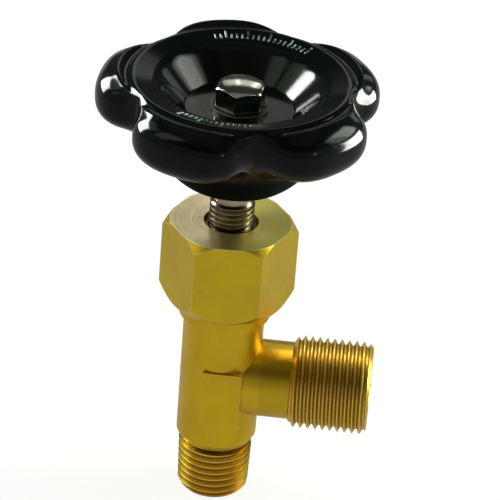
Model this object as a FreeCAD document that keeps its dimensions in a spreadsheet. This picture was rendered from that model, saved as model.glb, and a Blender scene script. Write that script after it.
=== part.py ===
import FreeCAD, Part
import math
import os

import Sketcher
from FreeCAD import Vector

# Angle needle valve: a brass body with a taper inlet below and a parallel outlet at the side,
# a hexagonal bonnet, a rising spindle with a swivelling needle, and a five-lobed handwheel.
# Millimetres and degrees. The origin is the centre of the inlet's end face, +Z runs up the
# spindle and +X along the outlet. The valve is drawn shut.

DIMENSIONS = {
    # body barrel, with a collar under the bonnet and a threaded neck inside it
    "barrel_radius": 7.25,
    "shoulder_height": 10.7,
    "shoulder_foot": 6.5,
    "shoulder_rise": 1.3,
    "collar_bottom": 36.8,
    "collar_top": 40.0,
    "collar_radius": 8.2,
    "neck_radius": 7.0,
    "neck_top": 48.0,
    "neck_chamfer": 0.6,
    "pad_distance": 7.6,
    "pad_bottom": 17.0,
    "pad_top": 27.8,
    "pad_left": 2.6,
    "pad_right": 4.4,
    # inlet: taper pipe thread, nominal size 1/4
    "inlet_radius": 6.39,
    "inlet_bore": 3.5,
    "inlet_bore_depth": 12.5,
    "taper_angle": 1.79,
    "relief_width": 0.9,
    # outlet: parallel pipe thread, nominal size 3/8
    "outlet_height": 23.5,
    "outlet_reach": 27.3,
    "outlet_radius": 8.33,
    "outlet_bore": 4.5,
    "branch_radius": 7.0,
    "branch_length": 12.9,
    "end_chamfer": 0.9,
    "mouth_chamfer": 0.4,
    "pipe_pitch": 1.337,
    "pipe_depth": 0.856,
    "pipe_flank": 27.5,
    # chamber, seat and needle
    "chamber_radius": 4.25,
    "chamber_floor": 18.0,
    "seat_height": 17.0,
    "orifice_radius": 1.6,
    "seat_slope": 0.36,
    "seat_gap": 0.02,
    "tip_radius": 0.5,
    "needle_radius": 2.25,
    "head_radius": 2.6,
    "head_bottom": 21.5,
    "head_top": 23.9,
    "shank_radius": 1.5,
    "shank_top": 30.0,
    "ball_radius": 1.4,
    "snap_height": 27.0,
    "snap_wire": 0.33,
    "snap_groove": 0.36,
    # stuffing box and chevron packing
    "box_radius": 5.0,
    "box_floor": 38.5,
    "packing_gap": 0.03,
    "packing_edge": 0.9,
    "packing_pitch": 1.5,
    "packing_vee": 0.6,
    "gland_height": 45.5,
    # bonnet
    "bonnet_flats": 21.0,
    "bonnet_height": 15.4,
    "bonnet_face_radius": 10.8,
    "bonnet_foot_radius": 10.3,
    "bonnet_chamfer_slope": 1.2,
    "bonnet_mouth": 4.9,
    "bonnet_mouth_depth": 0.9,
    "bonnet_turn": 4.0,
    "gasket_thickness": 0.8,
    "gasket_radius": 6.4,
    "thread_gap": 0.05,
    # spindle: metric fine thread, nominal size 8 x 1
    "spindle_radius": 4.0,
    "spindle_pitch": 1.0,
    "spindle_depth": 0.613,
    "spindle_flank": 30.0,
    "spindle_bottom": 24.0,
    "spindle_plain": 3.0,
    "stem_radius": 3.0,
    "socket_radius": 1.55,
    "stop_radius": 4.1,
    "stop_thickness": 2.2,
    "lift": 4.0,
    "square_flats": 5.5,
    "square_gap": 0.03,
    "stud_radius": 2.5,
    "stud_top": 81.6,
    # handwheel
    "wheel_height": 64.0,
    "hub_radius": 8.85,
    "belly_radius": 13.6,
    "belly_height": 3.7,
    "shoulder_radius": 19.4,
    "wheel_shoulder": 15.0,
    "ring_radius": 19.1,
    "rim_height": 19.9,
    "crown_radius": 14.6,
    "crown_height": 18.8,
    "floor_radius": 9.6,
    "floor_height": 13.9,
    "lobe_count": 5,
    "lobe_circle": 15.95,
    "lobe_core": 3.95,
    "lobe_round": 5.3,
    "lobe_height": 14.6,
    "wheel_turn": 30.5,
    "insert_flats": 8.6,
    # handwheel fastening: nominal size 5
    "washer_radius": 5.0,
    "washer_bore": 2.65,
    "washer_thickness": 0.6,
    "washer_split": 0.6,
    "nut_flats": 8.0,
    "nut_height": 4.5,
    "nut_dome": 0.45,
    "nut_face_radius": 3.7,
    "nut_bore": 2.55,
    "nut_bore_depth": 3.5,
    "nut_turn": 24.0,
}

# How far a cutting outline reaches past the surface that it opens.
OVERCUT = 1.0

# The bevel of the seat passes through the orifice's edge, and the needle's cone follows it.
SEAT_TOP_RADIUS = "(dims.orifice_radius + (dims.chamber_floor - dims.seat_height) * dims.seat_slope)"
NEEDLE_TIP = "(dims.seat_height - (dims.orifice_radius - dims.seat_gap - dims.tip_radius) / dims.seat_slope)"
CONE_LENGTH = "((dims.needle_radius - dims.tip_radius) / dims.seat_slope)"

# The stop collar meets the lowest packing ring when the spindle has risen by its lift.
STOP_TOP = "(dims.box_floor - dims.lift - dims.seat_gap - dims.spindle_bottom)"

document = FreeCAD.newDocument("needle_valve")
sheet = document.addObject("Spreadsheet::Sheet", "dims")
sub_parts = []


def fill_sheet():
    """One row per driving dimension: its name in column A, its value and alias in column B."""
    for row, (alias, value) in enumerate(DIMENSIONS.items(), start=1):
        sheet.set(f"A{row}", alias)
        sheet.set(f"B{row}", str(value))
        sheet.setAlias(f"B{row}", alias)
    document.recompute()


def size(expression):
    """The present value of an expression in the sheet's names."""
    return float(sheet.evalExpression(expression.replace("dims.", "")))


def place(sub_part, height, turn="0"):
    """Stands a sub-part at a height on the spindle axis, turned about it."""
    sub_part.setExpression("Placement.Base.z", height)
    sub_part.setExpression("Placement.Rotation.Angle", f"({turn}) * 1 deg")
    sub_parts.append(sub_part)


def new_body(label, height="0", turn="0"):
    body = document.addObject("PartDesign::Body", label)
    body.Label = label
    place(body, height, turn)
    return body


def origin_of(body, role):
    """An axis or plane of the body's own origin."""
    return next(item for item in body.Origin.OriginFeatures if item.Role == role)


def new_sketch(body, name, role="XZ_Plane", offset=None):
    """An empty sketch on one of the body's own planes, moved by expressions."""
    sketch = body.newObject("Sketcher::SketchObject", f"{body.Name}_{name}")
    sketch.AttachmentSupport = [(origin_of(body, role), "")]
    sketch.MapMode = "FlatFace"
    for direction, expression in (offset or {}).items():
        sketch.setExpression(f"AttachmentOffset.Base.{direction}", expression)
    return sketch


def outline(body, name, corners, role="XZ_Plane", offset=None):
    """A closed straight-sided sketch whose corners are pairs of expressions."""
    sketch = new_sketch(body, name, role, offset)
    points = [Vector(size(across), size(up), 0) for across, up in corners]
    for start, end in zip(points, points[1:] + points[:1]):
        sketch.addGeometry(Part.LineSegment(start, end), False)
    for line in range(len(points)):
        sketch.addConstraint(Sketcher.Constraint("Coincident", line, 2, (line + 1) % len(points), 1))
    for line, (point, expressions) in enumerate(zip(points, corners)):
        for kind, value, expression in zip(("DistanceX", "DistanceY"), point, expressions):
            index = sketch.addConstraint(Sketcher.Constraint(kind, -1, 1, line, 1, value))
            sketch.renameConstraint(index, f"{kind}_{line}")
            sketch.setExpression(f"Constraints.{kind}_{line}", expression)
    document.recompute()
    return sketch


def turned(body, kind, sketch, axis="V_Axis"):
    """A Revolution or Groove of a sketch, all the way round one of the sketch's own axes."""
    feature = body.newObject(f"PartDesign::{kind}", f"{sketch.Name}_{kind.lower()}")
    feature.Profile = sketch
    feature.ReferenceAxis = (sketch, [axis])
    feature.Angle = 360
    document.recompute()
    return feature


def extruded(body, kind, sketch, length, reverse=False):
    """A Pad or Pocket of a sketch, checked for having added or removed material."""
    before = body.Shape.Volume if body.Tip else 0
    feature = body.newObject(f"PartDesign::{kind}", f"{sketch.Name}_{kind.lower()}")
    feature.Profile = sketch
    feature.setExpression("Length", length)
    feature.Reversed = reverse
    document.recompute()
    change = feature.Shape.Volume - before
    if (change > 0) != (kind == "Pad"):
        raise RuntimeError(f"{feature.Name} points the wrong way")
    return feature


def ring(label, height, corners, turn="0"):
    """A body turned in one piece from its half section."""
    body = new_body(label, height, turn)
    turned(body, "Revolution", outline(body, "section", corners))
    return body


def polygon(flats, sides=6):
    """Corners of a regular polygon of a given width across flats, the first one on the X axis."""
    radius = f"({flats}) / 2 / cos(180 deg / {sides})"
    return [
        (f"{radius} * cos({360 * corner / sides} deg)", f"{radius} * sin({360 * corner / sides} deg)")
        for corner in range(sides)
    ]


def thread(body, name, axis, prefix, radius, start, length, taper="0", offset=None):
    """Cuts a right-hand helical thread about a sketch axis, from start, over a length."""
    pitch = f"dims.{prefix}_pitch"
    depth = f"dims.{prefix}_depth"
    slope = f"tan(dims.{prefix}_flank * 1 deg)"
    over = f"{pitch} * 0.05"
    crest = f"({pitch} * 7 / 16 + {over} * {slope})"
    root = f"({pitch} * 7 / 16 - {depth} * {slope})"
    corners = [
        (f"{radius} - {depth}", f"{start} - {root}"),
        (f"{radius} - {depth}", f"{start} + {root}"),
        (f"{radius} + {over}", f"{start} + {crest}"),
        (f"{radius} + {over}", f"{start} - {crest}"),
    ]
    if axis == "H_Axis":
        corners = [(along, across) for across, along in corners]
    sketch = outline(body, name, corners, offset=offset)
    before = body.Shape.Volume
    helix = body.newObject("PartDesign::SubtractiveHelix", f"{sketch.Name}_cut")
    helix.Profile = sketch
    helix.ReferenceAxis = (sketch, [axis])
    helix.Mode = "pitch-height-angle"
    helix.setExpression("Pitch", pitch)
    helix.setExpression("Height", length)
    helix.setExpression("Angle", taper)
    document.recompute()
    if helix.Shape.Volume >= before:
        raise RuntimeError(f"{helix.Name} cuts nothing")
    return helix


def valve_body():
    body = new_body("valve_body")
    widening = "tan(dims.taper_angle * 1 deg)"
    relief_start = "(dims.shoulder_height - dims.relief_width)"
    barrel = [
        ("0", "0"),
        ("dims.inlet_radius - dims.end_chamfer", "0"),
        (f"dims.inlet_radius + dims.end_chamfer * {widening}", "dims.end_chamfer"),
        (f"dims.inlet_radius + {relief_start} * {widening}", relief_start),
        ("dims.inlet_radius - dims.pipe_depth", f"{relief_start} + dims.pipe_depth / 2"),
        ("dims.inlet_radius - dims.pipe_depth", "dims.shoulder_height"),
        ("dims.shoulder_foot", "dims.shoulder_height"),
        ("dims.barrel_radius", "dims.shoulder_height + dims.shoulder_rise"),
        ("dims.barrel_radius", "dims.collar_bottom"),
        ("dims.collar_radius", "dims.collar_bottom"),
        ("dims.collar_radius", "dims.collar_top"),
        ("dims.neck_radius", "dims.collar_top"),
        ("dims.neck_radius", "dims.neck_top - dims.neck_chamfer"),
        ("dims.neck_radius - dims.neck_chamfer", "dims.neck_top"),
        ("0", "dims.neck_top"),
    ]
    turned(body, "Revolution", outline(body, "barrel", barrel))
    at_outlet = {"y": "dims.outlet_height"}
    branch = [
        ("0", "0"),
        ("0", "dims.branch_radius"),
        ("dims.branch_length", "dims.branch_radius"),
        ("dims.branch_length + dims.end_chamfer", "dims.outlet_radius"),
        ("dims.outlet_reach - dims.end_chamfer", "dims.outlet_radius"),
        ("dims.outlet_reach", "dims.outlet_radius - dims.end_chamfer"),
        ("dims.outlet_reach", "0"),
    ]
    turned(body, "Revolution", outline(body, "branch", branch, offset=at_outlet), "H_Axis")
    add_pads(body)
    bores = [
        ("0", f"-{OVERCUT}"),
        (f"dims.inlet_bore + dims.mouth_chamfer + {OVERCUT}", f"-{OVERCUT}"),
        ("dims.inlet_bore", "dims.mouth_chamfer"),
        ("dims.inlet_bore", "dims.inlet_bore_depth"),
        ("dims.orifice_radius", "dims.inlet_bore_depth + (dims.inlet_bore - dims.orifice_radius) / 2"),
        ("dims.orifice_radius", "dims.seat_height"),
        (SEAT_TOP_RADIUS, "dims.chamber_floor"),
        ("dims.chamber_radius", "dims.chamber_floor"),
        ("dims.chamber_radius", "dims.box_floor"),
        ("dims.box_radius", "dims.box_floor"),
        ("dims.box_radius", f"dims.neck_top + {OVERCUT}"),
        ("0", f"dims.neck_top + {OVERCUT}"),
    ]
    turned(body, "Groove", outline(body, "bores", bores))
    outlet_bore = [
        ("0", "0"),
        ("0", "dims.outlet_bore"),
        ("dims.outlet_reach - dims.mouth_chamfer", "dims.outlet_bore"),
        (f"dims.outlet_reach + {OVERCUT}", f"dims.outlet_bore + dims.mouth_chamfer + {OVERCUT}"),
        (f"dims.outlet_reach + {OVERCUT}", "0"),
    ]
    turned(body, "Groove", outline(body, "outlet_bore", outlet_bore, offset=at_outlet), "H_Axis")
    thread(
        body, "outlet_thread", "H_Axis", "pipe", "dims.outlet_radius",
        "dims.branch_length - dims.pipe_pitch",
        "dims.outlet_reach - dims.branch_length + 2 * dims.pipe_pitch", offset=at_outlet,
    )
    thread(
        body, "inlet_thread", "V_Axis", "pipe", f"(dims.inlet_radius - dims.pipe_pitch * {widening})",
        "-dims.pipe_pitch", "dims.pipe_pitch + dims.shoulder_height - dims.relief_width / 2",
        "dims.taper_angle",
    )


def add_pads(body):
    """Raised flat pads, front and back, where the branch leaves the barrel."""
    corners = [
        ("-dims.pad_left", "dims.pad_bottom"),
        ("dims.pad_right", "dims.pad_bottom"),
        ("dims.pad_right", "dims.pad_top"),
        ("-dims.pad_left", "dims.pad_top"),
    ]
    sketch = outline(body, "pad", corners, offset={"z": "-dims.pad_distance"})
    extruded(body, "Pad", sketch, "2 * dims.pad_distance")


def bonnet():
    body = new_body("bonnet", "dims.collar_top", "dims.bonnet_turn")
    hexagon = outline(body, "hexagon", polygon("dims.bonnet_flats"), "XY_Plane")
    extruded(body, "Pad", hexagon, "dims.bonnet_height")
    reach = "dims.bonnet_flats"
    for name, radius, face, inward in (
        ("bottom", "dims.bonnet_foot_radius", "0", ""),
        ("top", "dims.bonnet_face_radius", "dims.bonnet_height", "-"),
    ):
        drop = f"(({reach} - {radius}) * dims.bonnet_chamfer_slope)"
        chamfer = [(radius, face), (reach, face), (reach, f"{face} + {inward}{drop}")]
        turned(body, "Groove", outline(body, f"{name}_chamfer", chamfer))
    ceiling = "dims.neck_top - dims.collar_top + dims.gasket_thickness"
    nose = "dims.box_radius - dims.thread_gap"
    gland = "dims.gland_height - dims.collar_top"
    hole = "dims.spindle_radius + dims.thread_gap"
    bores = [
        ("0", f"-{OVERCUT}"),
        ("dims.neck_radius + dims.thread_gap", f"-{OVERCUT}"),
        ("dims.neck_radius + dims.thread_gap", ceiling),
        (nose, ceiling),
        (nose, gland),
        (hole, gland),
        (hole, "dims.bonnet_height - dims.bonnet_mouth_depth"),
        ("dims.bonnet_mouth", "dims.bonnet_height - dims.bonnet_mouth_depth"),
        ("dims.bonnet_mouth", f"dims.bonnet_height + {OVERCUT}"),
        ("0", f"dims.bonnet_height + {OVERCUT}"),
    ]
    turned(body, "Groove", outline(body, "bores", bores))


def bonnet_gasket():
    ring("bonnet_gasket", "dims.neck_top", [
        ("dims.box_radius", "0"),
        ("dims.gasket_radius", "0"),
        ("dims.gasket_radius", "dims.gasket_thickness"),
        ("dims.box_radius", "dims.gasket_thickness"),
    ])


def packing():
    """Three chevron rings between a bottom ring with a ridge and a top ring with a groove."""
    inner = "dims.stem_radius + dims.packing_gap"
    outer = "dims.box_radius - dims.packing_gap"
    middle = "(dims.stem_radius + dims.box_radius) / 2"
    ring("packing_bottom_ring", "dims.box_floor", [
        (inner, "0"),
        (outer, "0"),
        (outer, "dims.packing_edge"),
        (middle, "dims.packing_edge + dims.packing_vee"),
        (inner, "dims.packing_edge"),
    ])
    names = ("packing_ring_lower", "packing_ring_middle", "packing_ring_upper")
    for step, name in enumerate(names):
        ring(name, f"dims.box_floor + dims.packing_edge + {step} * dims.packing_pitch", [
            (inner, "0"),
            (middle, "dims.packing_vee"),
            (outer, "0"),
            (outer, "dims.packing_pitch"),
            (middle, "dims.packing_pitch + dims.packing_vee"),
            (inner, "dims.packing_pitch"),
        ])
    top_floor = f"(dims.box_floor + dims.packing_edge + {len(names)} * dims.packing_pitch)"
    ring("packing_top_ring", top_floor, [
        (inner, "0"),
        (middle, "dims.packing_vee"),
        (outer, "0"),
        (outer, f"dims.gland_height - {top_floor}"),
        (inner, f"dims.gland_height - {top_floor}"),
    ])


def needle():
    snap = f"(dims.snap_height - {NEEDLE_TIP})"
    ring("needle", NEEDLE_TIP, [
        ("0", "0"),
        ("dims.tip_radius", "0"),
        ("dims.needle_radius", CONE_LENGTH),
        ("dims.needle_radius", f"dims.head_bottom - {NEEDLE_TIP}"),
        ("dims.head_radius", f"dims.head_bottom - {NEEDLE_TIP}"),
        ("dims.head_radius", f"dims.head_top - {NEEDLE_TIP}"),
        ("dims.shank_radius", f"dims.head_top - {NEEDLE_TIP}"),
        ("dims.shank_radius", f"{snap} - dims.snap_groove"),
        ("dims.shank_radius - dims.snap_groove", f"{snap} - dims.snap_groove"),
        ("dims.shank_radius - dims.snap_groove", f"{snap} + dims.snap_groove"),
        ("dims.shank_radius", f"{snap} + dims.snap_groove"),
        ("dims.shank_radius", f"dims.shank_top - {NEEDLE_TIP}"),
        ("0", f"dims.shank_top - {NEEDLE_TIP}"),
    ])


def thrust_ball():
    ball = document.addObject("Part::Sphere", "thrust_ball")
    ball.setExpression("Radius", "dims.ball_radius")
    place(ball, "dims.shank_top + dims.ball_radius")


def needle_snap_ring():
    wire = document.addObject("Part::Torus", "needle_snap_ring")
    wire.setExpression("Radius1", "(dims.shank_radius + dims.socket_radius) / 2")
    wire.setExpression("Radius2", "dims.snap_wire")
    wire.Angle3 = 330
    place(wire, "dims.snap_height")


def spindle():
    thread_bottom = "(dims.gland_height - dims.spindle_bottom + dims.thread_gap)"
    shank_top = "(dims.wheel_height - dims.spindle_bottom)"
    thread_top = f"({shank_top} - dims.spindle_plain)"
    square_top = "(dims.wheel_height + dims.floor_height - dims.spindle_bottom - dims.square_gap)"
    stud_top = "(dims.stud_top - dims.spindle_bottom)"
    lead = "dims.spindle_depth"
    body = ring("spindle", "dims.spindle_bottom", [
        ("0", "0"),
        ("dims.stem_radius", "0"),
        ("dims.stem_radius", f"{STOP_TOP} - dims.stop_thickness"),
        ("dims.stop_radius", f"{STOP_TOP} - dims.stop_thickness"),
        ("dims.stop_radius", STOP_TOP),
        ("dims.stem_radius", STOP_TOP),
        ("dims.stem_radius", thread_bottom),
        (f"dims.spindle_radius - {lead}", thread_bottom),
        ("dims.spindle_radius", f"{thread_bottom} + {lead}"),
        ("dims.spindle_radius", f"{thread_top} - dims.relief_width - {lead}"),
        (f"dims.spindle_radius - {lead}", f"{thread_top} - dims.relief_width"),
        (f"dims.spindle_radius - {lead}", thread_top),
        ("dims.spindle_radius", thread_top),
        ("dims.spindle_radius", f"{shank_top} - dims.mouth_chamfer"),
        ("dims.spindle_radius - dims.mouth_chamfer", shank_top),
        ("0", shank_top),
    ], "dims.wheel_turn")
    snap = "(dims.snap_height - dims.spindle_bottom)"
    socket = [
        ("0", f"-{OVERCUT}"),
        ("dims.socket_radius", f"-{OVERCUT}"),
        ("dims.socket_radius", f"{snap} - dims.snap_groove"),
        ("dims.socket_radius + dims.snap_groove", f"{snap} - dims.snap_groove"),
        ("dims.socket_radius + dims.snap_groove", f"{snap} + dims.snap_groove"),
        ("dims.socket_radius", f"{snap} + dims.snap_groove"),
        ("dims.socket_radius", "dims.shank_top + 2 * dims.ball_radius - dims.spindle_bottom"),
        ("0", "dims.shank_top + 2 * dims.ball_radius - dims.spindle_bottom"),
    ]
    turned(body, "Groove", outline(body, "socket", socket))
    square = outline(body, "square", polygon("dims.square_flats", 4), "XY_Plane", {"z": shank_top})
    extruded(body, "Pad", square, f"{square_top} - {shank_top}")
    stud = [
        ("0", shank_top),
        ("dims.stud_radius", shank_top),
        ("dims.stud_radius", f"{stud_top} - dims.mouth_chamfer"),
        ("dims.stud_radius - dims.mouth_chamfer", stud_top),
        ("0", stud_top),
    ]
    turned(body, "Revolution", outline(body, "stud", stud))
    thread(
        body, "thread", "V_Axis", "spindle", "dims.spindle_radius",
        f"{thread_bottom} - dims.spindle_pitch",
        f"{thread_top} - {thread_bottom} + dims.spindle_pitch - dims.relief_width / 2",
    )


def lobe_section(body):
    """Half the section of one lobe, flat above and below and half round at its edge."""
    sketch = new_sketch(body, "lobe_section", offset={"x": "dims.lobe_circle", "y": "dims.lobe_height"})
    core = size("dims.lobe_core")
    radius = size("dims.lobe_round")
    edge = Part.Circle(Vector(core, 0, 0), Vector(0, 0, 1), radius)
    sketch.addGeometry(Part.LineSegment(Vector(0, -radius, 0), Vector(core, -radius, 0)), False)
    sketch.addGeometry(Part.ArcOfCircle(edge, math.radians(-90), math.radians(90)), False)
    sketch.addGeometry(Part.LineSegment(Vector(core, radius, 0), Vector(0, radius, 0)), False)
    sketch.addGeometry(Part.LineSegment(Vector(0, radius, 0), Vector(0, -radius, 0)), False)
    for line in range(4):
        sketch.addConstraint(Sketcher.Constraint("Coincident", line, 2, (line + 1) % 4, 1))
    sketch.addConstraint(Sketcher.Constraint("PointOnObject", 0, 1, -2))
    sketch.addConstraint(Sketcher.Constraint("PointOnObject", 1, 3, -1))
    sketch.addConstraint(Sketcher.Constraint("Horizontal", 0))
    sketch.addConstraint(Sketcher.Constraint("Horizontal", 2))
    sketch.addConstraint(Sketcher.Constraint("Vertical", 3))
    for name, expression, constraint in (
        ("core", "dims.lobe_core", Sketcher.Constraint("DistanceX", -1, 1, 1, 3, core)),
        ("start", "dims.lobe_core", Sketcher.Constraint("DistanceX", -1, 1, 0, 2, core)),
        ("end", "dims.lobe_core", Sketcher.Constraint("DistanceX", -1, 1, 1, 2, core)),
        ("edge", "dims.lobe_round", Sketcher.Constraint("Radius", 1, radius)),
    ):
        sketch.renameConstraint(sketch.addConstraint(constraint), name)
        sketch.setExpression(f"Constraints.{name}", expression)
    document.recompute()
    return sketch


def handwheel():
    """A dished hub and crown ring, with rounded lobes around it and a hexagonal hole for the insert."""
    body = ring("handwheel", "dims.wheel_height", [
        ("0", "0"),
        ("dims.hub_radius", "0"),
        ("dims.belly_radius", "dims.belly_height"),
        ("dims.shoulder_radius", "dims.wheel_shoulder"),
        ("dims.ring_radius", "dims.rim_height"),
        ("dims.crown_radius", "dims.crown_height"),
        ("dims.floor_radius", "dims.floor_height"),
        ("0", "dims.floor_height"),
    ], "dims.wheel_turn")
    lobe = turned(body, "Revolution", lobe_section(body))
    lobes = body.newObject("PartDesign::PolarPattern", "lobes")
    lobes.Originals = [lobe]
    lobes.Axis = (origin_of(body, "Z_Axis"), [""])
    lobes.Angle = 360
    lobes.setExpression("Occurrences", "dims.lobe_count")
    body.Tip = lobes
    document.recompute()
    dish = [
        ("0", "dims.floor_height"),
        ("dims.floor_radius", "dims.floor_height"),
        ("dims.crown_radius", "dims.crown_height"),
        ("dims.crown_radius", f"dims.rim_height + {OVERCUT}"),
        ("0", f"dims.rim_height + {OVERCUT}"),
    ]
    turned(body, "Groove", outline(body, "dish", dish))
    hole = outline(body, "hexagon", polygon("dims.insert_flats"), "XY_Plane")
    extruded(body, "Pocket", hole, "dims.floor_height", reverse=True)


def handwheel_insert():
    body = new_body("handwheel_insert", "dims.wheel_height", "dims.wheel_turn")
    hexagon = outline(body, "hexagon", polygon("dims.insert_flats"), "XY_Plane")
    extruded(body, "Pad", hexagon, "dims.floor_height")
    hole = outline(body, "hole", polygon("dims.square_flats + 2 * dims.square_gap", 4), "XY_Plane")
    extruded(body, "Pocket", hole, "dims.floor_height", reverse=True)


def handwheel_washer():
    """A split lock washer, pressed flat between the insert and the nut."""
    washer = ring("handwheel_lock_washer", "dims.wheel_height + dims.floor_height", [
        ("dims.washer_bore", "0"),
        ("dims.washer_radius", "0"),
        ("dims.washer_radius", "dims.washer_thickness"),
        ("dims.washer_bore", "dims.washer_thickness"),
    ])
    split = outline(washer, "split", [
        ("0", "-dims.washer_split / 2"),
        ("2 * dims.washer_radius", "-dims.washer_split / 2"),
        ("2 * dims.washer_radius", "dims.washer_split / 2"),
        ("0", "dims.washer_split / 2"),
    ], "XY_Plane")
    extruded(washer, "Pocket", split, "dims.washer_thickness", reverse=True)


def handwheel_nut():
    seat = "dims.wheel_height + dims.floor_height + dims.washer_thickness"
    body = new_body("handwheel_nut", seat, "dims.nut_turn")
    hexagon = outline(body, "hexagon", polygon("dims.nut_flats"), "XY_Plane")
    extruded(body, "Pad", hexagon, "dims.nut_height")
    reach = "dims.nut_flats"
    dome = [
        ("0", "dims.nut_height"),
        ("dims.nut_face_radius", "dims.nut_height - dims.nut_dome"),
        (reach, f"dims.nut_height - dims.nut_dome - ({reach} - dims.nut_face_radius) / 2"),
        (reach, f"dims.nut_height + {OVERCUT}"),
        ("0", f"dims.nut_height + {OVERCUT}"),
    ]
    turned(body, "Groove", outline(body, "dome", dome))
    bore = [
        ("0", f"-{OVERCUT}"),
        ("dims.nut_bore", f"-{OVERCUT}"),
        ("dims.nut_bore", "dims.nut_bore_depth"),
        ("0", "dims.nut_bore_depth"),
    ]
    turned(body, "Groove", outline(body, "bore", bore))


def check_document():
    """Stops at the first object that failed to recompute or has no sound shape."""
    for item in document.Objects:
        if {"Invalid", "Error"} & set(item.State):
            raise RuntimeError(f"{item.Name} is {item.State}")
    for sub_part in sub_parts:
        if sub_part.Shape.isNull() or not sub_part.Shape.isValid():
            raise RuntimeError(f"{sub_part.Label} has no sound shape")


fill_sheet()
valve_body()
bonnet()
bonnet_gasket()
packing()
needle()
thrust_ball()
needle_snap_ring()
spindle()
handwheel()
handwheel_insert()
handwheel_washer()
handwheel_nut()
document.recompute()
check_document()
os.makedirs("parts", exist_ok=True)
for sub_part in sub_parts:
    sub_part.Shape.exportStep(f"parts/{sub_part.Label}.step")
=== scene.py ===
import math

import bpy
import numpy as np
from mathutils import Matrix, Vector


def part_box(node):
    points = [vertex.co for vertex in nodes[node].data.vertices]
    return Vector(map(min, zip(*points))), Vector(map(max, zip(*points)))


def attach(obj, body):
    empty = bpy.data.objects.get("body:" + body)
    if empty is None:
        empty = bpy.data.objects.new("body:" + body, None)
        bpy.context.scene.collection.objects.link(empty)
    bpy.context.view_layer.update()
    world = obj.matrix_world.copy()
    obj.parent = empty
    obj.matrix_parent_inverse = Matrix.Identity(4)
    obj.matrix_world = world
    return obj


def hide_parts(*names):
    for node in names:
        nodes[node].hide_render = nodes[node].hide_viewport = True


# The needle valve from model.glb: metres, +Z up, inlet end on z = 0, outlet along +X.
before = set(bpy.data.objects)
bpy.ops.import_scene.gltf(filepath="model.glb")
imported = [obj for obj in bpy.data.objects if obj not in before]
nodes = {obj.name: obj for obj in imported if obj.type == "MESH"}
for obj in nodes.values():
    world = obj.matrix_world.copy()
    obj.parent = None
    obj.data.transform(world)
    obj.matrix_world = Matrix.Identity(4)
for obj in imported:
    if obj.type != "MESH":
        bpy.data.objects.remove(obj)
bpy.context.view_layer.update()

MM = 0.001
TURNING_BODY = "spindle_and_wheel"

# Where the body's two male threads begin, in millimetres: along the outlet, and up from the inlet's end.
OUTLET_THREAD_START = 13.5
INLET_THREAD_TOP = 10.5


# ---------------------------------------------------------------- node helpers

class Graph:
    """A node tree that is filled by short calls. Every value may be a number, a tuple or a socket."""

    def __init__(self, tree):
        self.tree = tree

    def node(self, kind, inputs=None, **settings):
        made = self.tree.nodes.new(kind)
        for key, value in settings.items():
            setattr(made, key, value)
        for key, value in (inputs or {}).items():
            self.feed(made.inputs[key], value)
        return made

    def feed(self, socket, value):
        if isinstance(value, bpy.types.NodeSocket):
            self.tree.links.new(value, socket)
        else:
            socket.default_value = value

    def math(self, operation, *values):
        made = self.tree.nodes.new("ShaderNodeMath")
        made.operation = operation
        for socket, value in zip(made.inputs, values):
            self.feed(socket, value)
        return made.outputs[0]

    def vector(self, operation, *values):
        made = self.tree.nodes.new("ShaderNodeVectorMath")
        made.operation = operation
        for socket, value in zip(made.inputs, values):
            self.feed(socket, value)
        return made.outputs[1] if operation in ("DOT_PRODUCT", "LENGTH") else made.outputs[0]

    def ramp(self, value, low, high, to_low=0.0, to_high=1.0):
        """Maps low..high smoothly to to_low..to_high."""
        made = self.node("ShaderNodeMapRange", interpolation_type="SMOOTHSTEP")
        sockets = (value, low, high, to_low, to_high)
        for socket, number in zip(made.inputs, sockets):
            self.feed(socket, number)
        return made.outputs[0]

    def blend(self, share, first, second):
        made = self.node("ShaderNodeMix", data_type="RGBA")
        self.feed(made.inputs[0], share)
        self.feed(made.inputs[6], first)
        self.feed(made.inputs[7], second)
        return made.outputs[2]

    def noise(self, place, scale, detail=2.0, rough=0.5):
        inputs = {"Vector": place, "Scale": scale, "Detail": detail, "Roughness": rough}
        return self.node("ShaderNodeTexNoise", inputs).outputs[0]

    def bump(self, height, depth, normal=None):
        """Height runs 0..1 and depth is in metres."""
        inputs = {"Height": height, "Distance": depth, "Strength": 1.0}
        if normal is not None:
            inputs["Normal"] = normal
        return self.node("ShaderNodeBump", inputs).outputs[0]


def colour(red, green, blue):
    return (red, green, blue, 1.0)


def new_material(name):
    """An empty material: itself, its graph, its shader, and a point's place in metres."""
    made = bpy.data.materials.new(name)
    made.use_nodes = True
    made.node_tree.nodes.clear()
    graph = Graph(made.node_tree)
    shader = graph.node("ShaderNodeBsdfPrincipled")
    output = graph.node("ShaderNodeOutputMaterial")
    made.node_tree.links.new(shader.outputs[0], output.inputs[0])
    place = graph.node("ShaderNodeTexCoord").outputs["Object"]
    return made, graph, shader, place


def turned_grooves(graph, place, axis, pitch):
    """Fine tool marks of a lathe: noise that varies only away from the axis and along it."""
    parts = graph.node("ShaderNodeSeparateXYZ", {"Vector": place}).outputs
    along = parts[axis]
    across = [parts[i] for i in range(3) if i != axis]
    squares = [graph.math("MULTIPLY", one, one) for one in across]
    radius = graph.math("SQRT", graph.math("ADD", *squares))
    line = graph.node("ShaderNodeCombineXYZ", {"X": radius, "Y": along, "Z": 0.0}).outputs[0]
    return graph.noise(line, 1.0 / pitch, 3.0, 0.6)


def worn_and_lit_edge(graph, radius):
    """1 along convex edges and 0 on faces: how far the rounded normal turns away from the true one."""
    rounded = graph.node("ShaderNodeBevel", {"Radius": radius}, samples=4).outputs[0]
    true = graph.node("ShaderNodeNewGeometry").outputs["Normal"]
    return graph.ramp(graph.vector("DOT_PRODUCT", rounded, true), 1.0, 0.86)


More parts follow.
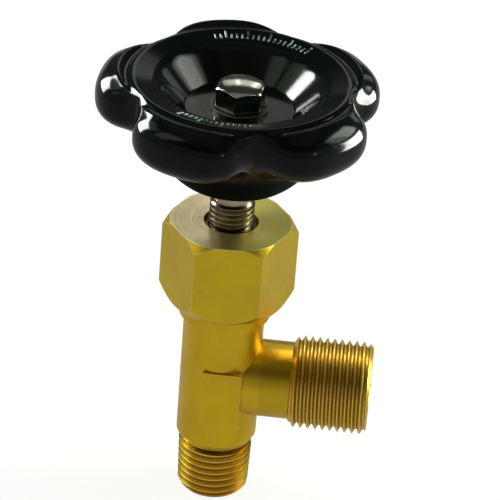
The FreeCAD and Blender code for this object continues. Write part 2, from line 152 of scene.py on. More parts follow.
def crevice(graph, distance):
    """0 in the open and 1 deep in a groove or gap no wider than the distance."""
    shade = graph.node("ShaderNodeAmbientOcclusion", {"Distance": distance}, samples=6)
    return graph.ramp(shade.outputs["AO"], 0.7, 0.2)


# ------------------------------------------------------------------- materials

# Brass for edges paled by rubbing and a painted highlight, for painted shade in grooves, and for the top
# face's painted sheen on its light and its olive side.
RUBBED_AND_LIT_BRASS = (1.0, 0.88, 0.36)
GROOVE_SHADE = (0.15, 0.065, 0.004)
SHEEN_LIT_GOLD = (0.98, 0.86, 0.52)
SHEEN_DIM_OLIVE = (0.62, 0.56, 0.13)

# Radii, in millimetres, between which the turned top face fades into painted shade in the bonnet's mouth.
FACE_EDGE, MOUTH_EDGE = 5.4, 5.0

# Distances along the outlet, in millimetres, between which the tool marks turn from round the barrel to round
# the branch.
BARREL_REACH, BRANCH_REACH = 7.0, 8.0

BRASS_MARKS = 0.11 * MM


def faced_top(graph, shader, place, split, height):
    """The turned top above a height: how far a point is on it, its painted sheen colour, and the painted
    shade in its mouth.
    """
    faced = graph.ramp(split[2], height - 0.1 * MM, height)
    # Painted sheen: the top is paler gold on the left and olive on the right, with a wavering boundary
    # between.
    wander = graph.math("MULTIPLY", graph.noise(place, 300.0, 2.0, 0.5), 7.0 * MM)
    side = graph.ramp(graph.math("ADD", split[0], wander), -1.0 * MM, 7.0 * MM)
    tangent = graph.node("ShaderNodeTangent", direction_type="RADIAL", axis="Z")
    graph.feed(shader.inputs["Tangent"], tangent.outputs[0])
    graph.feed(shader.inputs["Anisotropic"], graph.math("MULTIPLY", faced, 0.7))
    squares = [graph.math("MULTIPLY", split[i], split[i]) for i in (0, 1)]
    radius = graph.math("SQRT", graph.math("ADD", *squares))
    # Painted shade in the bonnet's mouth: inside the face's edge and below the top.
    sunk = graph.ramp(split[2], height, height - 0.35 * MM)
    mouth_shade = graph.math("MULTIPLY", graph.ramp(radius, FACE_EDGE * MM, MOUTH_EDGE * MM), sunk)
    return faced, graph.blend(side, colour(*SHEEN_LIT_GOLD), colour(*SHEEN_DIM_OLIVE)), mouth_shade


def body_regions(graph, split):
    """Where the body has threads, its branch, and its bare branch without thread, each as 0 to 1."""
    outlet = graph.ramp(split[0], (OUTLET_THREAD_START - 0.5) * MM, OUTLET_THREAD_START * MM)
    inlet = graph.ramp(split[2], (INLET_THREAD_TOP + 0.5) * MM, INLET_THREAD_TOP * MM)
    branch = graph.ramp(split[0], BARREL_REACH * MM, BRANCH_REACH * MM)
    return graph.math("MAXIMUM", outlet, inlet), branch, graph.math("SUBTRACT", branch, outlet)


def brass(name, base, tarnish, roughness, threaded=False, faced_above=None):
    """Satin turned brass: tool marks, slow tarnish, stains, painted shade in the grooves, edges paled by wear
    and a painted highlight.
    A threaded piece has crests paled further the same way, painted shade on its bare branch and tool marks
    round the branch.
    Above the height faced_above the top gets a turned sheen, a painted sheen, paler gold to the left and
    olive to the right, and painted shade in its mouth."""
    made, graph, shader, place = new_material(name)
    slow = graph.noise(place, 120.0, 3.0, 0.55)
    stain = graph.ramp(graph.noise(place, 650.0, 4.0, 0.6), 0.56, 0.74)
    tone = graph.blend(graph.ramp(slow, 0.35, 0.7), colour(*base), colour(*tarnish))
    split = graph.node("ShaderNodeSeparateXYZ", {"Vector": place}).outputs
    groove_shade = crevice(graph, 1.0 * MM)
    if faced_above is not None:
        faced, top_sheen, mouth_shade = faced_top(graph, shader, place, split, faced_above)
        # The top face takes the painted sheen colour.
        tone = graph.blend(faced, tone, top_sheen)
        # The painted shade in the mouth joins the painted shade in the grooves.
        groove_shade = graph.math("MAXIMUM", groove_shade, mouth_shade)
    darker = colour(*[0.72 * c for c in tarnish])
    tone = graph.blend(graph.math("MULTIPLY", stain, 0.25), tone, darker)
    # How strongly edges are paled by wear and a painted highlight; the thread crests get more.
    wear = 0.6
    grooves = turned_grooves(graph, place, 2, BRASS_MARKS)
    if threaded:
        threads, branch, bare_branch = body_regions(graph, split)
        wear = graph.ramp(threads, 0.0, 1.0, 0.3, 0.95)
        # Painted shade: the bare branch is darkened towards the tarnish colour.
        tone = graph.blend(graph.math("MULTIPLY", bare_branch, 0.5), tone, darker)
        sideways = turned_grooves(graph, place, 0, BRASS_MARKS)
        grooves = graph.node("ShaderNodeMix", {0: branch, 2: grooves, 3: sideways}).outputs[0]
    # Edges paled by rubbing and a painted highlight.
    edge = worn_and_lit_edge(graph, 0.28 * MM)
    tone = graph.blend(graph.math("MULTIPLY", edge, wear), tone, colour(*RUBBED_AND_LIT_BRASS))
    # Painted shade: dark brown where the ambient occlusion finds grooves and gaps, and in the bonnet's mouth.
    tone = graph.blend(graph.math("MULTIPLY", groove_shade, 0.82), tone, colour(*GROOVE_SHADE))
    grain = graph.noise(place, 5200.0, 3.0, 0.6)
    surface = graph.bump(grooves, 0.0025 * MM)
    surface = graph.bump(grain, 0.002 * MM, surface)
    gloss = graph.ramp(grooves, 0.3, 0.7, roughness - 0.05, roughness + 0.06)
    gloss = graph.math("ADD", gloss, graph.math("MULTIPLY", slow, 0.08))
    gloss = graph.math("ADD", gloss, graph.math("MULTIPLY", groove_shade, 0.15))
    graph.feed(shader.inputs["Base Color"], tone)
    graph.feed(shader.inputs["Roughness"], gloss)
    graph.feed(shader.inputs["Metallic"], 1.0)
    graph.feed(shader.inputs["Normal"], surface)
    return made


# Painted shade for the steel's thread, and the pale colour of its edges, lit by wear and a painted highlight.
THREAD_SHADE = (0.02, 0.015, 0.01)
BRIGHT_EDGE = (0.86, 0.85, 0.8)


def steel(name, base, roughness, marks=0.09 * MM):
    """Ground or plated steel with turning marks, dull spots, edges paled by wear and a painted highlight, and
    painted shade in its thread.
    """
    made, graph, shader, place = new_material(name)
    slow = graph.noise(place, 260.0, 3.0, 0.6)
    dull = colour(*[0.62 * c for c in base])
    tone = graph.blend(graph.ramp(slow, 0.4, 0.72), colour(*base), dull)
    # Edges paled by wear and a painted highlight.
    edge = worn_and_lit_edge(graph, 0.15 * MM)
    tone = graph.blend(graph.math("MULTIPLY", edge, 0.6), tone, colour(*BRIGHT_EDGE))
    # Painted shade: darker where the ambient occlusion finds the thread's grooves.
    sunk = crevice(graph, 0.8 * MM)
    tone = graph.blend(graph.math("MULTIPLY", sunk, 0.9), tone, colour(*THREAD_SHADE))
    grooves = turned_grooves(graph, place, 2, marks)
    graph.feed(shader.inputs["Base Color"], tone)
    graph.feed(shader.inputs["Metallic"], 1.0)
    graph.feed(shader.inputs["Roughness"], graph.ramp(grooves, 0.3, 0.7, roughness - 0.05, roughness + 0.08))
    graph.feed(shader.inputs["Normal"], graph.bump(grooves, 0.003 * MM))
    return made


# Heights above the hub's foot, in millimetres, between which the wheel's gloss fades to its dull underside.
UNDERSIDE_TOP, UNDERSIDE_BOTTOM = 12.0, 5.0


def phenolic(name):
    """Glossy black moulding with a hint of green, faint flow ripples, fine pores and a duller underside."""
    made, graph, shader, place = new_material(name)
    slow = graph.noise(place, 70.0, 2.0, 0.5)
    tone = graph.blend(slow, colour(0.0012, 0.0016, 0.0015), colour(0.0016, 0.0032, 0.0023))
    ripple = graph.noise(place, 160.0, 2.0, 0.5)
    pores = graph.noise(place, 4200.0, 2.0, 0.6)
    surface = graph.bump(ripple, 0.02 * MM)
    surface = graph.bump(pores, 0.0008 * MM, surface)
    scuff = graph.ramp(graph.noise(place, 900.0, 4.0, 0.65), 0.5, 0.75)
    height = graph.node("ShaderNodeSeparateXYZ", {"Vector": place}).outputs[2]
    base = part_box("handwheel")[0].z
    underside = graph.ramp(height, base + UNDERSIDE_TOP * MM, base + UNDERSIDE_BOTTOM * MM)
    gloss = graph.ramp(scuff, 0.0, 1.0, 0.10, 0.18)
    graph.feed(shader.inputs["Base Color"], tone)
    graph.feed(shader.inputs["Roughness"], graph.math("ADD", gloss, graph.math("MULTIPLY", underside, 0.5)))
    graph.feed(shader.inputs["Specular IOR Level"], graph.ramp(underside, 0.0, 1.0, 0.16, 0.02))
    graph.feed(shader.inputs["Normal"], surface)
    return made


def moulded(name, base, roughness, fleck):
    """Matt pressed or sintered material with flecks."""
    made, graph, shader, place = new_material(name)
    speck = graph.ramp(graph.noise(place, 2600.0, 4.0, 0.7), 0.45, 0.7)
    tone = graph.blend(speck, colour(*base), colour(*fleck))
    graph.feed(shader.inputs["Base Color"], tone)
    graph.feed(shader.inputs["Roughness"], roughness)
    graph.feed(shader.inputs["Normal"], graph.bump(speck, 0.01 * MM))
    return made


def faint_paint(name):
    """Thin worn grey-green paint on raised marks."""
    made, graph, shader, place = new_material(name)
    wear = graph.ramp(graph.noise(place, 900.0, 4.0, 0.7), 0.38, 0.58)
    tone = graph.blend(wear, colour(0.10, 0.16, 0.125), colour(0.006, 0.018, 0.011))
    graph.feed(shader.inputs["Base Color"], tone)
    graph.feed(shader.inputs["Roughness"], graph.ramp(wear, 0.0, 1.0, 0.38, 0.16))
    graph.feed(shader.inputs["Normal"], graph.bump(wear, 0.01 * MM))
    return made


def paint(names, made):
    """Gives the named CAD nodes one material."""
    for name in names:
        for holder in nodes[name].material_slots:
            holder.material = made


body_brass = brass("brass_body", (0.80, 0.53, 0.022), (0.71, 0.46, 0.03), 0.30, threaded=True)
bonnet_brass = brass("brass_bonnet", (0.76, 0.53, 0.026), (0.69, 0.48, 0.035), 0.30,
                     faced_above=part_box("bonnet")[1].z - 0.02 * MM)
inner_brass = brass("brass_inner", (0.74, 0.56, 0.14), (0.6, 0.45, 0.12), 0.3)
spindle_steel = steel("steel_spindle", (0.5, 0.43, 0.28), 0.2)
needle_steel = steel("steel_needle", (0.66, 0.66, 0.64), 0.16)
washer_steel = steel("steel_washer", (0.07, 0.07, 0.06), 0.42)
bright_chrome = steel("chrome_nut", (0.62, 0.64, 0.54), 0.08, 0.05 * MM)
black_phenolic = phenolic("phenolic_wheel")
tick_paint = faint_paint("paint_ticks")
white_ptfe = moulded("ptfe_packing", (0.86, 0.86, 0.82), 0.45, (0.74, 0.74, 0.7))
red_fibre = moulded("fibre_gasket", (0.36, 0.09, 0.05), 0.7, (0.22, 0.05, 0.03))

paint(["valve_body"], body_brass)
paint(["bonnet"], bonnet_brass)
paint(["packing_bottom_ring", "packing_top_ring", "handwheel_insert"], inner_brass)
paint(["packing_ring_lower", "packing_ring_middle", "packing_ring_upper"], white_ptfe)
paint(["bonnet_gasket"], red_fibre)
paint(["needle", "thrust_ball", "needle_snap_ring"], needle_steel)
paint(["spindle"], spindle_steel)
paint(["handwheel_lock_washer"], washer_steel)
paint(["handwheel_nut"], bright_chrome)
paint(["handwheel"], black_phenolic)


# ------------------------------------------------------------------- handwheel

def smooth_max(first, second, blend):
    """The larger of two values, with a rounded change where they are within the blend of each other."""
    share = np.clip(0.5 + 0.5 * (first - second) / blend, 0.0, 1.0)
    return second + (first - second) * share + blend * share * (1.0 - share)


def smooth_min(first, second, blend):
    return -smooth_max(-first, -second, blend)


def farthest_point(node):
    """How far a node reaches from the spindle's axis, in millimetres, and in which direction, in degrees."""
    points = np.array([v.co for v in nodes[node].data.vertices], float) / MM
    x, y = points[np.argmax(np.hypot(points[:, 0], points[:, 1]))][:2]
    return math.hypot(x, y), math.degrees(math.atan2(y, x))


WHEEL_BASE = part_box("handwheel")[0].z / MM
DISH_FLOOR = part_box("handwheel_lock_washer")[0].z / MM
LOBES = 5
LOBE_TIP, LOBE_TURN = farthest_point("handwheel")
INSERT_CORNER, INSERT_TURN = farthest_point("handwheel_insert")
INSERT_HALF_FLATS = INSERT_CORNER * math.cos(math.pi / 6)

# Outline of the bowl in millimetres, radius and height above the hub's foot, and how round each corner is.
BOWL = ((8.85, 0.0), (13.6, 3.7), (17.0, 9.3), (19.2, 15.0), (19.45, 19.2), (19.45, 22.0))
BOWL_ROUND = (1.2, 1.6, 3.0, 2.5, 1.0)

# Half sizes of a lobe, the power of its superellipse, and how softly it runs into the bowl.
LOBE_HEIGHT = 15.0
LOBE_LONG, LOBE_WIDE, LOBE_THICK = 8.5, 10.35, 5.62
LOBE_POWER = 2.5
LOBE_BLEND = 3.4

# The wheel's top, again as radius and height: the dish's foot, the crown, and the groove before the lobes.
DISH_FLOOR_RADIUS = 9.6
CROWN_INNER = (14.6, 18.8)
CROWN_OUTER = (19.0, 19.9)
GROOVE = (20.1, 19.2)
GROOVE_WIDTH, GROOVE_RISE = 1.6, 1.2
DISH_ROUND, CROWN_ROUND, CROWN_EDGE_ROUND, GROOVE_ROUND, LOBE_TOP_ROUND = 0.25, 0.7, 0.5, 0.7, 0.5
TOP_STEEPNESS = 0.75


def bowl_distance(radius, height):
    """Signed distance, in millimetres, to the turned bowl between the lobes."""
    result = -height
    for (r0, h0), (r1, h1), rounding in zip(BOWL, BOWL[1:], BOWL_ROUND):
        length = math.hypot(r1 - r0, h1 - h0)
        side = ((radius - r0) * (h1 - h0) - (height - h0) * (r1 - r0)) / length
        result = smooth_max(result, side, rounding)
    return result


def lobe_distance(x, y, height):
    """Signed distance to the nearest of the five lobes, each a rounded block with a superellipse outline."""
    centre = LOBE_TIP - LOBE_LONG
    angle = np.arctan2(y, x) - math.radians(LOBE_TURN)
    step = 2 * math.pi / LOBES
    angle = (angle + step / 2) % step - step / 2
    radius = np.hypot(x, y)
    outward = np.abs(radius * np.cos(angle) - centre) / LOBE_LONG
    across = np.abs(radius * np.sin(angle)) / LOBE_WIDE
    upward = np.abs(height - LOBE_HEIGHT) / LOBE_THICK
    total = outward ** LOBE_POWER + across ** LOBE_POWER + upward ** LOBE_POWER
    return (total ** (1 / LOBE_POWER) - 1) * LOBE_THICK


def roof_height(radius):
    """Height of the wheel's top: dish floor, sloping wall, crown, then a shallow groove before the lobes."""
    def line(start, end):
        return start[1] + (radius - start[0]) * (end[1] - start[1]) / (end[0] - start[0])
    floor = DISH_FLOOR - WHEEL_BASE
    wall = line((DISH_FLOOR_RADIUS, floor), CROWN_INNER)
    roof = smooth_max(np.full_like(radius, floor), wall, DISH_ROUND)
    roof = smooth_min(roof, line(CROWN_INNER, CROWN_OUTER), CROWN_ROUND)
    roof = smooth_min(roof, line(CROWN_OUTER, GROOVE), CROWN_EDGE_ROUND)
    beyond = (GROOVE[0] + GROOVE_WIDTH, GROOVE[1] + GROOVE_RISE)
    return smooth_max(roof, line(GROOVE, beyond), GROOVE_ROUND)


def wheel_distance(x, y, height):
    """Signed distance to the whole wheel, with its top cut off at the roof and its hexagonal hole."""
    radius = np.hypot(x, y)
    solid = smooth_min(bowl_distance(radius, height), lobe_distance(x, y, height), LOBE_BLEND)
    solid = smooth_max(solid, (height - roof_height(radius)) * TOP_STEEPNESS, LOBE_TOP_ROUND)
    sixth = math.pi / 3
    angle = (np.arctan2(y, x) - math.radians(INSERT_TURN)) % sixth - sixth / 2
    return np.maximum(solid, INSERT_HALF_FLATS - radius * np.cos(angle))


# The wheel's skin is found by halving along rays that leave a circle inside its wall. Here are that circle,
# the places round it and the rays at each, then how far a ray goes, how often it is halved, and how near the
# axis it stops.
CORE_RADIUS, CORE_HEIGHT = 12.0, 10.0
AROUND, SECTION = 480, 260
RAY_REACH, HALVINGS, AXIS_MARGIN = 24.0, 34, 0.5


def cast(turn, tilt):
    """Radius and height of the wheel's skin along rays from its core circle, by turn and by tilt."""
    near, far = np.zeros_like(tilt), np.full_like(tilt, RAY_REACH)
    for _ in range(HALVINGS):
        middle = (near + far) / 2
        radius = CORE_RADIUS + middle * np.cos(tilt)
        height = CORE_HEIGHT + middle * np.sin(tilt)
        outside = wheel_distance(radius * np.cos(turn), radius * np.sin(turn), height) > 0
        outside |= radius < AXIS_MARGIN
        far = np.where(outside, middle, far)
        near = np.where(outside, near, middle)
    return CORE_RADIUS + near * np.cos(tilt), CORE_HEIGHT + near * np.sin(tilt)


# Trial rays of one section, the share of points that bends get, the sharpest bend counted, and smoothing.
TILT_STEPS, BEND_SHARE, BEND_LIMIT, BEND_SPREAD = 4000, 0.9, 0.2, 31


def section_tilts():
    """Ray tilts that put more points where the section bends, from sections at, beside and between lobes."""
    fine = np.linspace(-math.pi, math.pi, TILT_STEPS + 1)
    weight = np.zeros(TILT_STEPS)
    for turn in (LOBE_TURN, LOBE_TURN + 180.0 / LOBES, LOBE_TURN + 90.0 / LOBES):
        r, h = cast(np.full_like(fine, math.radians(turn)), fine)
        dr, dh = np.diff(r), np.diff(h)
        length = np.hypot(dr, dh)
        bend = np.abs(np.diff(np.unwrap(np.arctan2(dh, dr)), append=0.0))
        bend[-1] = bend[-2]
        bend = np.minimum(bend, BEND_LIMIT)
        weight += length / length.sum() + BEND_SHARE * bend / bend.sum()
    weight = np.convolve(weight, np.ones(BEND_SPREAD) / BEND_SPREAD, mode="same")
    total = np.concatenate([[0.0], np.cumsum(weight)])
    return np.interp(np.linspace(0, total[-1], SECTION, endpoint=False), total, fine)


def mesh_object(name, vertices, faces, material):
    """A smooth-shaded mesh in one material, linked to the scene."""
    mesh = bpy.data.meshes.new(name)
    mesh.from_pydata(vertices, [], faces)
    mesh.update()
    mesh.shade_smooth()
    mesh.materials.append(material)
    made = bpy.data.objects.new(name, mesh)
    bpy.context.scene.collection.objects.link(made)
    return made


def build_wheel():
    """The moulded wheel, as a closed skin of quads round its core circle."""
    tilts = section_tilts()
    turns = np.linspace(0, 2 * math.pi, AROUND, endpoint=False)
    turn, tilt = np.meshgrid(turns, tilts, indexing="ij")
    radius, height = cast(turn, tilt)
    points = np.stack([radius * np.cos(turn), radius * np.sin(turn), height + WHEEL_BASE], axis=-1)
    vertices = (points.reshape(-1, 3) * MM).tolist()
    faces = []
    for i in range(AROUND):
        row, after = i * SECTION, (i + 1) % AROUND * SECTION
        for j in range(SECTION):
            k = (j + 1) % SECTION
            faces.append((row + j, after + j, after + k, row + k))
    return mesh_object("handwheel_moulding", vertices, faces, black_phenolic)


# Two arcs of plain ticks on the crown: first direction, last direction and step, in degrees from +X.
TICK_ARCS = ((52.0, 112.0, 3.3), (238.0, 284.0, 3.3))
TICK_INNER, TICK_SHORT, TICK_LONG = 16.1, 17.3, 18.1
TICK_HALF_WIDTH, TICK_RISE, TICK_SUNK = 0.21, 0.16, 0.15
LONG_TICK_EVERY = 4


def add_bar(vertices, faces, turn, inner, outer):
    """A raised radial bar with rounded shoulders, standing on the crown and closed underneath."""
    along, across = 11, 7
    first = len(vertices)
    cosine, sine = math.cos(math.radians(turn)), math.sin(math.radians(turn))
    for layer in (1, 0):
        for u in np.linspace(-1, 1, along):
            for v in np.linspace(-1, 1, across):
                radius = (inner + outer) / 2 + u * (outer - inner) / 2
                side = v * TICK_HALF_WIDTH
                swell = TICK_RISE * ((1 - u ** 6) * (1 - v ** 4)) ** 0.5
                ground = float(roof_height(np.array([radius]))[0]) + WHEEL_BASE
                height = ground + swell if layer else ground - TICK_SUNK
                x, y = radius * cosine - side * sine, radius * sine + side * cosine
                vertices.append((x * MM, y * MM, height * MM))
    below = first + along * across
    for i in range(along - 1):
        for j in range(across - 1):
            a, b = first + i * across + j, first + (i + 1) * across + j
            faces.append((a, b, b + 1, a + 1))
            a, b = below + i * across + j, below + (i + 1) * across + j
            faces.append((a, a + 1, b + 1, b))
    rim = [i * across for i in range(along)] + [(along - 1) * across + j for j in range(1, across)]
    rim += [i * across + across - 1 for i in range(along - 2, -1, -1)] + list(range(across - 2, 0, -1))
    for a, b in zip(rim, rim[1:] + rim[:1]):
        faces.append((first + a, below + a, below + b, first + b))


def build_ticks():
    """The ticks of both arcs as one piece."""
    vertices, faces = [], []
    for start, stop, step in TICK_ARCS:
        for count, turn in enumerate(np.arange(start, stop, step)):
            outer = TICK_LONG if count % LONG_TICK_EVERY == 0 else TICK_SHORT
            add_bar(vertices, faces, turn, TICK_INNER, outer)
    return mesh_object("handwheel_ticks", vertices, faces, tick_paint)


# The nut, in millimetres. Its rings run out over the dome, down the flats, in under the foot and up the bore.
NUT_LOW, NUT_HIGH = [c.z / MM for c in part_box("handwheel_nut")]
NUT_TURN = farthest_point("handwheel_nut")[1]
NUT_HALF_FLATS = 4.0
NUT_FACE_RADIUS, NUT_DOME, NUT_CHAMFER_SLOPE = 3.7, 0.42, 0.55
NUT_FOOT_RADIUS, NUT_FOOT_RISE = 3.85, 0.3
NUT_BORE, NUT_BORE_DEPTH = 2.55, 3.5
NUT_AROUND, NUT_CORNER_TRIM, NUT_CORNER_ROUND = 288, 0.06, 0.12
NUT_EDGE_INWARD, NUT_EDGE_DROP = 0.12, 0.10
NUT_SEAT_WIDTH = 0.3
NUT_BREAK = 0.02


def nut_roof(radius):
    """Height of the nut's top above its foot: a shallow dome that turns into the chamfer."""
    height = NUT_HIGH - NUT_LOW
    dome = height - NUT_DOME * (radius / NUT_FACE_RADIUS) ** 2
    chamfer = height - NUT_DOME - (radius - NUT_FACE_RADIUS) * NUT_CHAMFER_SLOPE
    return smooth_min(dome, chamfer, NUT_CORNER_ROUND)


def build_nut():
    """Domed hexagon nut with rounded edges, as closed rings of points with a point at either end."""
    around, rings = NUT_AROUND, []
    angle = np.linspace(0, 2 * math.pi, around, endpoint=False)
    off = (angle - math.radians(NUT_TURN) + math.pi / 6) % (math.pi / 3) - math.pi / 6
    sharp = NUT_HALF_FLATS / np.cos(math.pi / 6 - np.abs(off))
    corner = NUT_HALF_FLATS / math.cos(math.pi / 6) - NUT_CORNER_TRIM
    edge = smooth_min(sharp, np.full_like(sharp, corner), NUT_CORNER_ROUND)
    for share in np.linspace(0.04, 0.96, 24):
        rings.append((edge * share, nut_roof(edge * share)))
    top = nut_roof(edge)
    for bend in np.linspace(0.15, 1.0, 5) * math.pi / 2:
        inward = NUT_EDGE_INWARD * (1 - math.sin(bend))
        drop = NUT_EDGE_DROP * (1 - math.cos(bend))
        rings.append((edge - inward, top - drop))
    foot = np.maximum(edge - NUT_FOOT_RADIUS, 0) * NUT_FOOT_RISE
    for share in np.linspace(0, 1, 10):
        rings.append((edge, (top - 0.14) * (1 - share) + (foot + 0.1) * share))
    flat, seat = np.minimum(edge, NUT_FOOT_RADIUS), np.zeros_like(edge)
    rings += [(edge - 0.05, foot + NUT_BREAK), (flat, seat), (flat - NUT_SEAT_WIDTH, seat)]
    bore, ceiling = np.full_like(edge, NUT_BORE), seat + NUT_BORE_DEPTH
    rings += [(bore + NUT_BREAK, seat), (bore, seat + NUT_BREAK), (bore, ceiling)]
    rings += [(bore - NUT_BREAK, ceiling + NUT_BREAK), (bore * 0.3, ceiling + NUT_BREAK)]
    vertices = [(0.0, 0.0, NUT_HIGH * MM)]
    for radius, height in rings:
        for r, h, a in zip(radius, height, angle):
            vertices.append((r * math.cos(a) * MM, r * math.sin(a) * MM, (h + NUT_LOW) * MM))
    vertices.append((0.0, 0.0, (NUT_LOW + NUT_BORE_DEPTH + NUT_BREAK) * MM))
    faces = []
    for j in range(around):
        k = (j + 1) % around
        faces.append((0, 1 + j, 1 + k))
        last = 1 + (len(rings) - 1) * around
        faces.append((len(vertices) - 1, last + k, last + j))
        for i in range(len(rings) - 1):
            row, after = 1 + i * around, 1 + (i + 1) * around
            faces.append((row + j, after + j, after + k, row + k))
    return mesh_object("handwheel_nut_domed", vertices, faces, bright_chrome)


wheel = build_wheel()
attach(wheel, TURNING_BODY)
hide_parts("handwheel")

ticks = build_ticks()
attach(ticks, TURNING_BODY)

nut = build_nut()
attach(nut, TURNING_BODY)
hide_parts("handwheel_nut")


# ---------------------------------------------------------- view, floor, light

# The camera: degrees round, up and rolled, metres away, lens in millimetres. It aims at a height on the
# spindle's axis, in metres, and then a little to the right and up.
CAMERA_AZIMUTH, CAMERA_ELEVATION, CAMERA_ROLL = 3.57, 30.56, 4.22
CAMERA_DISTANCE = 0.6214
CAMERA_LENS = 251.3
AIM_HEIGHT = 0.045
AIM_RIGHT, AIM_UP = 0.0040, 0.0037


def direction(azimuth, elevation):
    """Unit vector towards a viewer who stands at that azimuth (0 in front, 90 to the right) and elevation."""
    a, e = math.radians(azimuth), math.radians(elevation)
    return Vector((math.sin(a) * math.cos(e), -math.cos(a) * math.cos(e), math.sin(e)))


def add_camera():
    """The camera, in front of the valve and above it, slightly rolled."""
    back = direction(CAMERA_AZIMUTH, CAMERA_ELEVATION)
    level = direction(CAMERA_AZIMUTH + 90, 0)
    upright = back.cross(level)
    roll = math.radians(CAMERA_ROLL)
    right = level * math.cos(roll) + upright * math.sin(roll)
    up = upright * math.cos(roll) - level * math.sin(roll)
    target = Vector((0, 0, AIM_HEIGHT))
    place = target + back * CAMERA_DISTANCE
    aim = target + right * AIM_RIGHT + up * AIM_UP
    away = (place - aim).normalized()
    right = up.cross(away).normalized()
    up = away.cross(right)
    data = bpy.data.cameras.new("camera")
    data.lens, data.sensor_width = CAMERA_LENS, 36.0
    data.clip_start, data.clip_end = 0.05, 20.0
    camera = bpy.data.objects.new("camera", data)
    bpy.context.scene.collection.objects.link(camera)
    turned = Matrix((right, up, away)).transposed()
    camera.matrix_world = Matrix.Translation(place) @ turned.to_4x4()
    bpy.context.scene.camera = camera


FLOOR_HALF = 4.0
FLOOR_GLOW, FLOOR_GLOW_SEEN = 0.33, 0.86


def add_floor():
    """Pale paper that also glows a little, more to the camera than to the valve."""
    made = bpy.data.materials.new("floor_paper")
    made.use_nodes = True
    made.node_tree.nodes.clear()
    graph = Graph(made.node_tree)
    path = graph.node("ShaderNodeLightPath")
    paper = graph.node("ShaderNodeBsdfDiffuse", {"Color": colour(0.3, 0.3, 0.295)})
    strength = graph.ramp(path.outputs["Is Camera Ray"], 0.0, 1.0, FLOOR_GLOW, FLOOR_GLOW_SEEN)
    glow = graph.node("ShaderNodeEmission", {"Color": colour(1, 1, 0.99), "Strength": strength})
    mixed = graph.node("ShaderNodeAddShader", {0: paper.outputs[0], 1: glow.outputs[0]})
    graph.node("ShaderNodeOutputMaterial", {"Surface": mixed.outputs[0]})
    half = FLOOR_HALF
    corners = [(-half, -half, 0), (half, -half, 0), (half, half, 0), (-half, half, 0)]
    mesh_object("floor", corners, [(0, 1, 2, 3)], made)


# The soft edge of a panel, as a share of its half size.
PANEL_EDGE = 0.25


def glow_panel(graph, look, azimuth, elevation, half_size, strength, tint):
    """A soft-edged bright rectangle in the surroundings; half_size is in degrees, across and up."""
    centre, right = direction(azimuth, elevation), direction(azimuth + 90, 0)
    up = centre.cross(right)
    forward = graph.vector("DOT_PRODUCT", look, tuple(centre))
    mask = graph.ramp(forward, 0.05, 0.2)
    for axis, half in ((right, half_size[0]), (up, half_size[1])):
        offset = graph.math("ABSOLUTE", graph.vector("DOT_PRODUCT", look, tuple(axis)))
        offset = graph.math("DIVIDE", offset, graph.math("MAXIMUM", forward, 0.01))
        limit = math.tan(math.radians(half))
        inside = graph.ramp(offset, limit * (1 + PANEL_EDGE), limit * (1 - PANEL_EDGE))
        mask = graph.math("MULTIPLY", mask, inside)
    scaled = graph.node("ShaderNodeVectorMath", {0: tint}, operation="SCALE")
    graph.feed(scaled.inputs["Scale"], graph.math("MULTIPLY", mask, strength))
    return scaled.outputs[0]


# Soft panels all round: azimuth, elevation, half width and height in degrees, then strength and tint.
PANELS = (
    (106, 5, (12, 9), 14.0, (1.0, 0.99, 0.96)),
    (108, 34, (16, 13), 4.5, (0.95, 1.0, 0.92)),
    (-113, 25, (7, 9), 12.0, (1.0, 1.0, 1.0)),
    (-68, 45, (8, 13), 1.5, (1.0, 1.0, 0.96)),
    (180, 29, (13, 7), 0.75, (1.0, 1.0, 0.92)),
    (174, 29, (0.8, 6), 2.6, (1.0, 1.0, 0.92)),
    (186, 29, (0.8, 6), 2.6, (1.0, 1.0, 0.92)),
    (0, 88, (25, 25), 0.15, (1.0, 1.0, 0.92)),
    (48, 15, (3, 5), 4.0, (1.0, 1.0, 1.0)),
)

# Lamps that only some pieces catch: azimuth, elevation, half width, half height, then radiance and tint.
WHEEL_LAMPS = (
    (104, 0, 17, 13, 40.0, (1.0, 1.0, 0.93)),
    (110, 34, 12, 11, 5.5, (0.95, 1.0, 0.90)),
    (145, 17, 5, 7, 1.2, (0.9, 1.0, 0.9)),
    (-112, 20, 15, 15, 34.0, (1.0, 1.0, 1.0)),
    (-101, 40, 13, 8, 1.3, (0.6, 1.0, 0.55)),
)
BRASS_LAMPS = (
    (178, 58, 45, 14, 3.8, (1.0, 1.0, 0.95)),
)
LAMP_DISTANCE = 0.2
LAMP_AIM_HEIGHT = 1.2 * WHEEL_BASE * MM


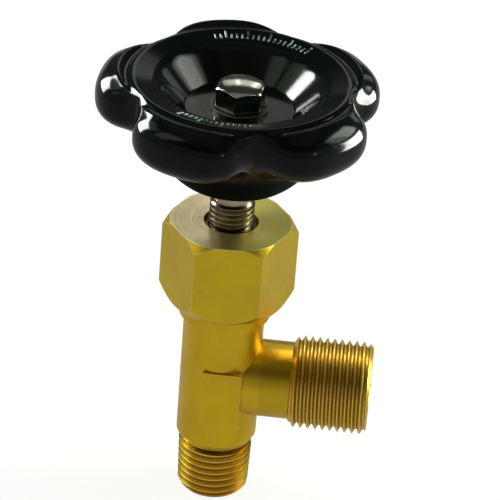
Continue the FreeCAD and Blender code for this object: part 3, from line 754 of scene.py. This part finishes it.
def add_lamps(name, rows, pieces):
    """Area lamps that shine on the given pieces only."""
    lit = bpy.data.collections.new(f"lit_by_{name}")
    for piece in pieces:
        lit.objects.link(piece)
    for number, (azimuth, elevation, wide, high, radiance, tint) in enumerate(rows):
        data = bpy.data.lights.new(f"{name}_{number}", "AREA")
        data.shape = "RECTANGLE"
        data.size = 2 * LAMP_DISTANCE * math.tan(math.radians(wide))
        data.size_y = 2 * LAMP_DISTANCE * math.tan(math.radians(high))
        data.energy = radiance * math.pi * data.size * data.size_y
        data.color = tint
        lamp = bpy.data.objects.new(f"{name}_{number}", data)
        bpy.context.scene.collection.objects.link(lamp)
        back = direction(azimuth, elevation)
        right = direction(azimuth + 90, 0)
        turned = Matrix((right, back.cross(right), back)).transposed()
        place = Vector((0, 0, LAMP_AIM_HEIGHT)) + back * LAMP_DISTANCE
        lamp.matrix_world = Matrix.Translation(place) @ turned.to_4x4()
        lamp.light_linking.receiver_collection = lit


# The plain surroundings: grey at the horizon in front and behind, and darker above.
HORIZON_FRONT, HORIZON_BACK, ABOVE = (0.32, 0.32, 0.31), (0.07, 0.07, 0.07), (0.04, 0.04, 0.04)


def add_world():
    """Dim surroundings with bright panels for the reflections, but plain white to the camera itself."""
    world = bpy.data.worlds.new("studio")
    bpy.context.scene.world = world
    world.use_nodes = True
    world.node_tree.nodes.clear()
    graph = Graph(world.node_tree)
    path = graph.node("ShaderNodeLightPath")
    look = graph.node("ShaderNodeTexCoord").outputs["Generated"]
    height = graph.node("ShaderNodeSeparateXYZ", {"Vector": look}).outputs[2]
    backness = graph.vector("DOT_PRODUCT", look, tuple(direction(180, 0)))
    horizon = graph.blend(graph.ramp(backness, 0.3, 0.8), colour(*HORIZON_FRONT), colour(*HORIZON_BACK))
    total = graph.blend(graph.ramp(height, 0.36, 0.60), horizon, colour(*ABOVE))
    for panel in PANELS:
        total = graph.vector("ADD", total, glow_panel(graph, look, *panel))
    shown = graph.blend(path.outputs["Is Camera Ray"], total, colour(1, 1, 1))
    background = graph.node("ShaderNodeBackground", {"Color": shown, "Strength": 1.0})
    graph.node("ShaderNodeOutputWorld", {"Surface": background.outputs[0]})


add_camera()
add_world()
add_lamps("wheel_lamp", WHEEL_LAMPS, (wheel, nut, ticks, nodes["handwheel_lock_washer"]))
add_lamps("brass_lamp", BRASS_LAMPS, (nodes["valve_body"],))
add_floor()
bpy.context.scene.view_settings.view_transform = "Standard"
